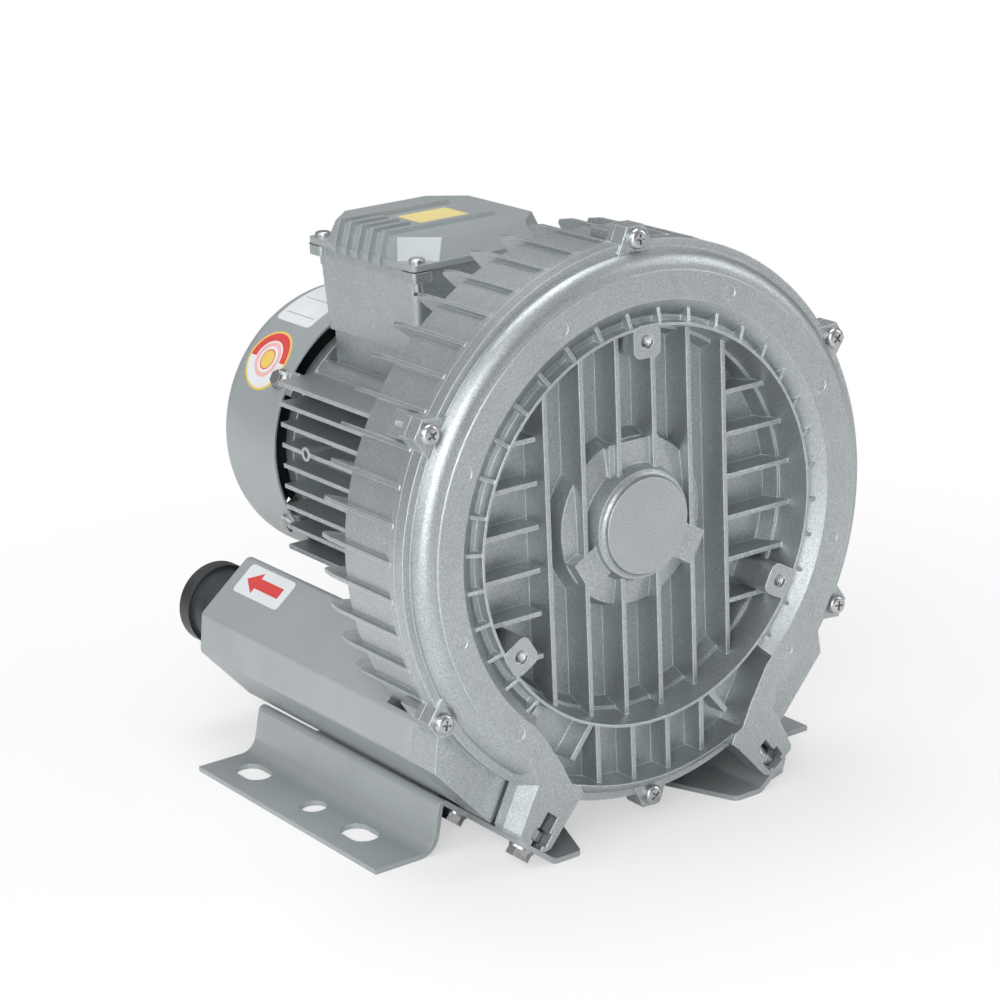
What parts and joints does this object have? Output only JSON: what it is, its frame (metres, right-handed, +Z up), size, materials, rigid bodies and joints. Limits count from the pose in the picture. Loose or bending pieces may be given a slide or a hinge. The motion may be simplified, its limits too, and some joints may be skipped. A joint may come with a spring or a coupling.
{
  "type": "side channel blower",
  "caption": "Side channel blower with a ribbed cast casing, finned motor, terminal box, silencers with round ports and slotted foot brackets.",
  "frame": {"origin": "on the floor, midway between the round centre holes of the two foot brackets", "axes": "+X to the right seen from the cover, +Y back along the shaft towards the motor and the ports, +Z up"},
  "size_m": [0.2614, 0.267, 0.2848],
  "materials": {
    "cast_aluminium": "silver-grey sprayed casting, satin",
    "bare_aluminium": "as cast",
    "grey_paint": "smooth grey paint, satin",
    "zinc_steel": "bright zinc plated",
    "ground_steel": "ground",
    "laminated_steel": "varnished laminations",
    "perforated_steel": "plain",
    "copper": "varnished copper wire",
    "brass": "plain",
    "black_plastic": "moulded, matt",
    "rubber": "matt",
    "foam": "open-cell foam"
  },
  "bodies": {
    "root": {"bearing_spring": "zinc_steel", "cable_gland": "black_plastic", "cover_screws": "zinc_steel", "cowl_screws": "zinc_steel", "end_shield_screws": "zinc_steel", "fan_cowl": "grey_paint", "foot_bolts": "zinc_steel", "foot_nuts": "zinc_steel", "foot_washers": "zinc_steel", "frame_bolts": "zinc_steel", "front_bearing_outer_ring": "ground_steel", "front_cover": "cast_aluminium", "gland_nut": "black_plastic", "impeller_housing": "cast_aluminium", "inlet_connector": "black_plastic", "inlet_silencer": "grey_paint", "inlet_silencer_end_plate": "grey_paint", "inlet_silencer_foam": "foam", "inlet_silencer_tube": "perforated_steel", "left_foot_bracket": "grey_paint", "lid_screws": "zinc_steel", "motor_frame": "cast_aluminium", "outlet_connector": "black_plastic", "outlet_silencer": "grey_paint", "outlet_silencer_end_plate": "grey_paint", "outlet_silencer_foam": "foam", "outlet_silencer_tube": "perforated_steel", "rear_bearing_outer_ring": "ground_steel", "rear_end_shield": "cast_aluminium", "right_foot_bracket": "grey_paint", "shaft_seal": "rubber", "stator_core": "laminated_steel", "stator_windings": "copper", "terminal_board": "black_plastic", "terminal_box": "cast_aluminium", "terminal_gasket": "rubber", "terminal_lid": "grey_paint", "terminal_studs": "brass"},
    "rotor": {"shaft": "ground_steel", "rotor_core": "laminated_steel", "impeller": "bare_aluminium", "impeller_key": "ground_steel", "impeller_spacer": "ground_steel", "cooling_fan": "black_plastic", "fan_clip": "zinc_steel", "front_bearing_inner_ring": "ground_steel", "rear_bearing_inner_ring": "ground_steel"},
    "front_ball_ring": {"front_bearing_balls": "ground_steel"},
    "rear_ball_ring": {"rear_bearing_balls": "ground_steel"}
  },
  "joints": [
    {"name": "shaft_spin", "type": "hinge", "parent": "root", "child": "rotor", "pos_m": [0, 0, 0.1472], "axis": [0, 1, 0], "continuous": true},
    {"name": "front_balls_roll", "type": "hinge", "parent": "root", "child": "front_ball_ring", "pos_m": [0, 0, 0.1472], "axis": [0, 1, 0], "continuous": true},
    {"name": "rear_balls_roll", "type": "hinge", "parent": "root", "child": "rear_ball_ring", "pos_m": [0, 0, 0.1472], "axis": [0, 1, 0], "continuous": true}
  ],
  "couplings": [
    {"joint": "front_balls_roll", "follows": "shaft_spin", "ratio": 0.3825},
    {"joint": "rear_balls_roll", "follows": "shaft_spin", "ratio": 0.3825}
  ]
}
